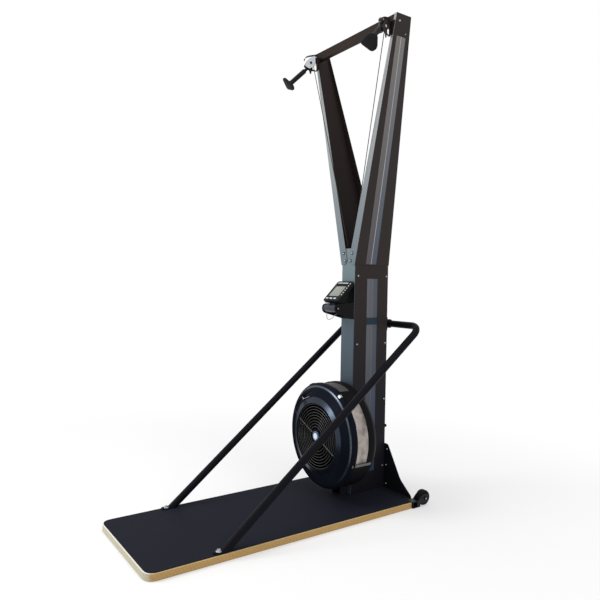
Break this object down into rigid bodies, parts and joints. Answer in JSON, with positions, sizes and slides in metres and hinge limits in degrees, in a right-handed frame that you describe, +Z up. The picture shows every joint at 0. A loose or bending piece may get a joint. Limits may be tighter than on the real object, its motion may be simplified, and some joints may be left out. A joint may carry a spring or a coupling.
{
  "type": "ski trainer machine",
  "caption": "Upright ski trainer: pull handles on cords over a forked tower, turning a caged fan flywheel, on a flat platform with transport wheels.",
  "frame": {"origin": "on the floor, in the middle of the machine's width and length", "axes": "+Z up; the user stands on the platform facing +Y, towards the tower; +X is on the user's right"},
  "size_m": [0.6872, 1.345, 2.15],
  "materials": {
    "board_ply": "birch plywood, lacquered, bare edge",
    "deck_mat": "fine-grained rubber mat, matt",
    "black_tube": "satin black powder coat",
    "front_metal": "blue-grey metallic powder coat, semi-gloss",
    "tower_sheet": "dark brown-black powder coat, satin",
    "bright_fastener": "zinc-plated steel",
    "wheel_rubber": "moulded black rubber, matt",
    "block_steel": "bright brushed steel",
    "black_moulding": "black nylon moulding, satin",
    "handle_rubber": "soft black rubber, matt",
    "cord": "braided black cord",
    "spool_metal": "turned aluminium",
    "fan_gloss": "blue-black gloss moulding",
    "hub_badge": "pale blue, bare",
    "mesh_steel": "perforated sheet, beige grey",
    "fan_wheel": "black moulding",
    "screen": "grey-green display window",
    "button_grey": "light grey keys, bare",
    "lead_grey": "thin grey lead"
  },
  "bodies": {
    "frame": {"platform_board": "board_ply", "platform_mat": "deck_mat", "rear_crossmember": "black_tube", "left_wheel_bolt": "bright_fastener", "right_wheel_bolt": "bright_fastener", "back_plate": "black_tube", "column_front": "front_metal", "column_rear": "tower_sheet", "column_left_side": "tower_sheet", "column_right_side": "tower_sheet", "left_arm": "tower_sheet", "right_arm": "tower_sheet", "top_crossbar": "tower_sheet", "left_pulley_bracket": "block_steel", "left_pulley_cover": "black_moulding", "left_pulley_pin": "bright_fastener", "left_pull_cord": "cord", "right_pulley_bracket": "block_steel", "right_pulley_cover": "black_moulding", "right_pulley_pin": "bright_fastener", "right_pull_cord": "cord", "roller_bracket": "black_tube", "fan_bearing": "bright_fastener", "fan_front_cover": "fan_gloss", "fan_grille": "fan_gloss", "fan_hub_cap": "hub_badge", "fan_mesh_band": "mesh_steel", "fan_rear_housing": "black_moulding", "fan_foot": "black_tube", "brace_bar": "black_tube", "brace_clamp": "black_tube", "monitor_bracket": "black_tube", "tilt_bolt": "bright_fastener", "monitor_lead": "lead_grey"},
    "flywheel": {"impeller": "fan_wheel", "fan_axle": "bright_fastener"},
    "left_handle": {"left_handle": "handle_rubber"},
    "left_pulley": {"left_pulley": "black_moulding"},
    "left_guide_roller": {"left_guide_roller": "black_moulding"},
    "left_spool": {"left_spool": "spool_metal"},
    "left_wheel": {"left_wheel": "wheel_rubber"},
    "right_handle": {"right_handle": "handle_rubber"},
    "right_pulley": {"right_pulley": "black_moulding"},
    "right_guide_roller": {"right_guide_roller": "black_moulding"},
    "right_spool": {"right_spool": "spool_metal"},
    "right_wheel": {"right_wheel": "wheel_rubber"},
    "damper": {"damper_ring": "black_moulding"},
    "monitor": {"monitor_front_case": "black_moulding", "monitor_lens": "screen", "monitor_back_case": "black_moulding", "tilt_barrel": "black_tube"},
    "button_lower_1": {"button_lower_1": "button_grey"},
    "button_lower_2": {"button_lower_2": "button_grey"},
    "button_lower_3": {"button_lower_3": "button_grey"},
    "button_side_1": {"button_side_1": "button_grey"},
    "button_side_2": {"button_side_2": "button_grey"},
    "button_side_3": {"button_side_3": "button_grey"},
    "button_side_4": {"button_side_4": "button_grey"},
    "button_side_5": {"button_side_5": "button_grey"},
    "button_side_6": {"button_side_6": "button_grey"}
  },
  "joints": [
    {"name": "flywheel_spin", "type": "hinge", "parent": "frame", "child": "flywheel", "pos_m": [0, 0.2875, 0.317], "axis": [0, 1, 0], "continuous": true},
    {"name": "left_handle_pull", "type": "slide", "parent": "frame", "child": "left_handle", "axis": [-0.2578, -0.6716, -0.6947], "range_m": [0, 1.1], "stiffness_N_per_m": 15, "springref_m": -1},
    {"name": "right_handle_pull", "type": "slide", "parent": "frame", "child": "right_handle", "axis": [0.2521, -0.6567, -0.7108], "range_m": [0, 1.1], "stiffness_N_per_m": 15, "springref_m": -1},
    {"name": "left_pulley_spin", "type": "hinge", "parent": "frame", "child": "left_pulley", "pos_m": [-0.262, 0.3325, 2.087], "axis": [0.9336, -0.3584, 0], "continuous": true},
    {"name": "left_guide_spin", "type": "hinge", "parent": "frame", "child": "left_guide_roller", "pos_m": [-0.0141, 0.3982, 1.118], "axis": [0, 1, 0], "continuous": true},
    {"name": "left_spool_spin", "type": "hinge", "parent": "frame", "child": "left_spool", "pos_m": [0, 0.4325, 0.317], "axis": [0, 1, 0], "continuous": true},
    {"name": "left_wheel_spin", "type": "hinge", "parent": "frame", "child": "left_wheel", "pos_m": [-0.2535, 0.6385, 0.0355], "axis": [1, 0, 0], "continuous": true},
    {"name": "right_pulley_spin", "type": "hinge", "parent": "frame", "child": "right_pulley", "pos_m": [0.262, 0.3325, 2.087], "axis": [0.9336, 0.3584, 0], "continuous": true},
    {"name": "right_guide_spin", "type": "hinge", "parent": "frame", "child": "right_guide_roller", "pos_m": [0.0141, 0.3982, 1.118], "axis": [0, 1, 0], "continuous": true},
    {"name": "right_spool_spin", "type": "hinge", "parent": "frame", "child": "right_spool", "pos_m": [0, 0.4085, 0.317], "axis": [0, 1, 0], "continuous": true},
    {"name": "right_wheel_spin", "type": "hinge", "parent": "frame", "child": "right_wheel", "pos_m": [0.2535, 0.6385, 0.0355], "axis": [1, 0, 0], "continuous": true},
    {"name": "damper_turn", "type": "hinge", "parent": "frame", "child": "damper", "pos_m": [0, 0.2325, 0.317], "axis": [0, 1, 0], "range_deg": [-22, 16]},
    {"name": "monitor_tilt", "type": "hinge", "parent": "frame", "child": "monitor", "pos_m": [0, 0.2875, 0.8955], "axis": [1, 0, 0], "range_deg": [0, 40]},
    {"name": "button_lower_1_press", "type": "slide", "parent": "monitor", "child": "button_lower_1", "axis": [0, 0.7071, -0.7071], "range_m": [0, 0.0015], "stiffness_N_per_m": 300, "springref_m": -0.001},
    {"name": "button_lower_2_press", "type": "slide", "parent": "monitor", "child": "button_lower_2", "axis": [0, 0.7071, -0.7071], "range_m": [0, 0.0015], "stiffness_N_per_m": 300, "springref_m": -0.001},
    {"name": "button_lower_3_press", "type": "slide", "parent": "monitor", "child": "button_lower_3", "axis": [0, 0.7071, -0.7071], "range_m": [0, 0.0015], "stiffness_N_per_m": 300, "springref_m": -0.001},
    {"name": "button_side_1_press", "type": "slide", "parent": "monitor", "child": "button_side_1", "axis": [0, 0.7071, -0.7071], "range_m": [0, 0.0015], "stiffness_N_per_m": 300, "springref_m": -0.001},
    {"name": "button_side_2_press", "type": "slide", "parent": "monitor", "child": "button_side_2", "axis": [0, 0.7071, -0.7071], "range_m": [0, 0.0015], "stiffness_N_per_m": 300, "springref_m": -0.001},
    {"name": "button_side_3_press", "type": "slide", "parent": "monitor", "child": "button_side_3", "axis": [0, 0.7071, -0.7071], "range_m": [0, 0.0015], "stiffness_N_per_m": 300, "springref_m": -0.001},
    {"name": "button_side_4_press", "type": "slide", "parent": "monitor", "child": "button_side_4", "axis": [0, 0.7071, -0.7071], "range_m": [0, 0.0015], "stiffness_N_per_m": 300, "springref_m": -0.001},
    {"name": "button_side_5_press", "type": "slide", "parent": "monitor", "child": "button_side_5", "axis": [0, 0.7071, -0.7071], "range_m": [0, 0.0015], "stiffness_N_per_m": 300, "springref_m": -0.001},
    {"name": "button_side_6_press", "type": "slide", "parent": "monitor", "child": "button_side_6", "axis": [0, 0.7071, -0.7071], "range_m": [0, 0.0015], "stiffness_N_per_m": 300, "springref_m": -0.001}
  ],
  "couplings": [
    {"joint": "left_pulley_spin", "follows": "left_handle_pull", "rad_per_m": 77.821},
    {"joint": "left_guide_spin", "follows": "left_handle_pull", "rad_per_m": -83.333},
    {"joint": "left_spool_spin", "follows": "left_handle_pull", "rad_per_m": -38.095},
    {"joint": "right_pulley_spin", "follows": "right_handle_pull", "rad_per_m": 77.821},
    {"joint": "right_guide_spin", "follows": "right_handle_pull", "rad_per_m": 83.333},
    {"joint": "right_spool_spin", "follows": "right_handle_pull", "rad_per_m": -38.095}
  ]
}
